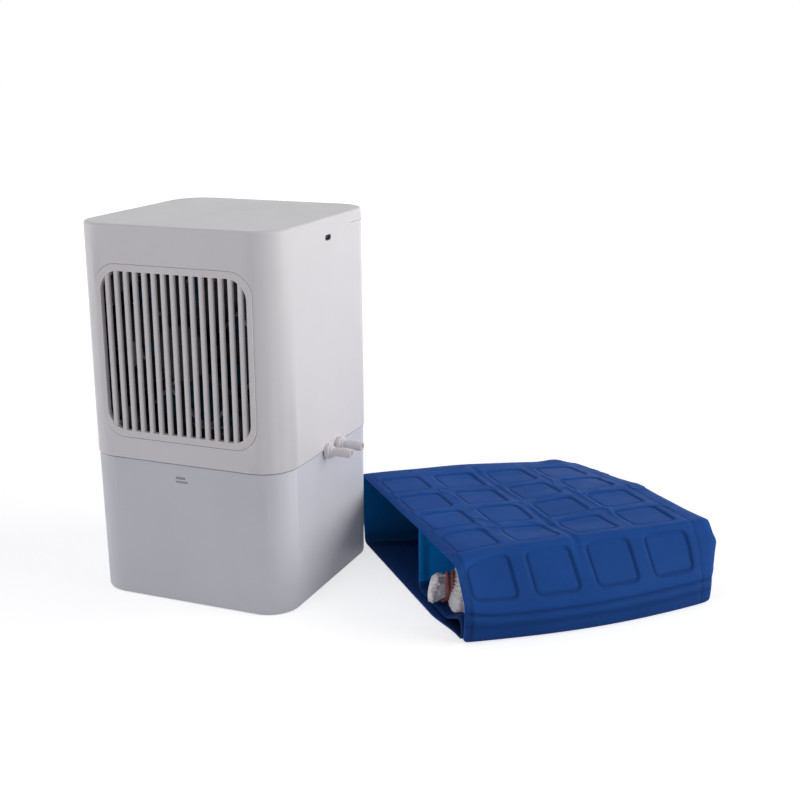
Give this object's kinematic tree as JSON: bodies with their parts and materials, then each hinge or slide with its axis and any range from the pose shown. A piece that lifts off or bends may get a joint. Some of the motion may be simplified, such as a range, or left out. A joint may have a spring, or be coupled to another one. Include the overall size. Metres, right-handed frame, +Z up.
{
  "type": "pet water cooling mat",
  "caption": "Small evaporative water chiller with a louvred fan housing over a frosted tank, and its blue channelled pet mat folded flat beside it.",
  "frame": {"origin": "centre of the chiller's underside, on the surface that it stands on", "axes": "+Z up; -Y towards the front grille; +X the way the hose spouts point, towards the folded mat"},
  "size_m": [0.4118, 0.2977, 0.26],
  "materials": {
    "frosted_tank": "frosted, translucent",
    "white_housing": "fine satin moulding",
    "white_spout": "semi gloss moulding",
    "inner_white": "plain moulding",
    "wet_pad": "teal pleated medium",
    "black_moulding": "plain black",
    "grey_seal": "soft",
    "clear_hose": "silicone",
    "bright_steel": "zinc plated",
    "green_board": "solder mask",
    "blue_film": "leather-grained welded film",
    "blue_port": "moulded",
    "white_bag": "thin crumpled film",
    "brown_band": "rubber band"
  },
  "bodies": {
    "tank_body": {"tank": "frosted_tank", "tank_feet": "grey_seal"},
    "upper_unit": {"tank_seal": "grey_seal", "deck": "inner_white", "housing_screws": "bright_steel", "upper_housing": "white_housing", "front_grille": "white_housing", "rear_grille": "white_housing", "supply_spout": "white_spout", "return_spout": "white_spout", "supply_spout_nut": "white_spout", "return_spout_nut": "white_spout", "supply_hose": "clear_hose", "return_hose": "clear_hose", "fan_frame": "black_moulding", "fan_screws": "bright_steel", "pad_cartridge": "inner_white", "cooling_pad": "wet_pad", "water_tray": "inner_white", "pump_body": "black_moulding", "pump_cover": "black_moulding", "pump_shaft": "bright_steel", "control_board": "green_board", "board_screws": "bright_steel", "usb_socket": "bright_steel", "power_switch": "black_moulding"},
    "fan_wheel": {"fan_rotor": "black_moulding"},
    "pump_wheel": {"pump_impeller": "black_moulding"},
    "button": {"power_button": "white_housing"},
    "folded_mat": {"mat_outer_film": "blue_film", "mat_inner_film": "blue_film", "mat_supply_port": "blue_port", "mat_return_port": "blue_port"},
    "tied_pouch": {"accessory_pouch": "white_bag", "pouch_band": "brown_band"}
  },
  "joints": [
    {"name": "housing_lift", "type": "slide", "parent": "tank_body", "child": "upper_unit", "axis": [0, 0, 1], "range_m": [0, 0.12]},
    {"name": "fan_spin", "type": "hinge", "parent": "upper_unit", "child": "fan_wheel", "pos_m": [0, -0.06, 0.1749], "axis": [0, 1, 0], "continuous": true},
    {"name": "pump_spin", "type": "hinge", "parent": "upper_unit", "child": "pump_wheel", "pos_m": [0, -0.006, 0.029], "axis": [0, 1, 0], "continuous": true},
    {"name": "button_press", "type": "slide", "parent": "upper_unit", "child": "button", "axis": [0, -1, 0], "range_m": [0, 0.0012], "stiffness_N_per_m": 600},
    {"name": "mat_slide", "type": "slide", "parent": "tank_body", "child": "folded_mat", "axis": [0.7385, 0.6743, 0], "range_m": [0, 0.2]},
    {"name": "pouch_pull", "type": "slide", "parent": "folded_mat", "child": "tied_pouch", "axis": [-0.7385, -0.6743, 0], "range_m": [0, 0.12]}
  ]
}
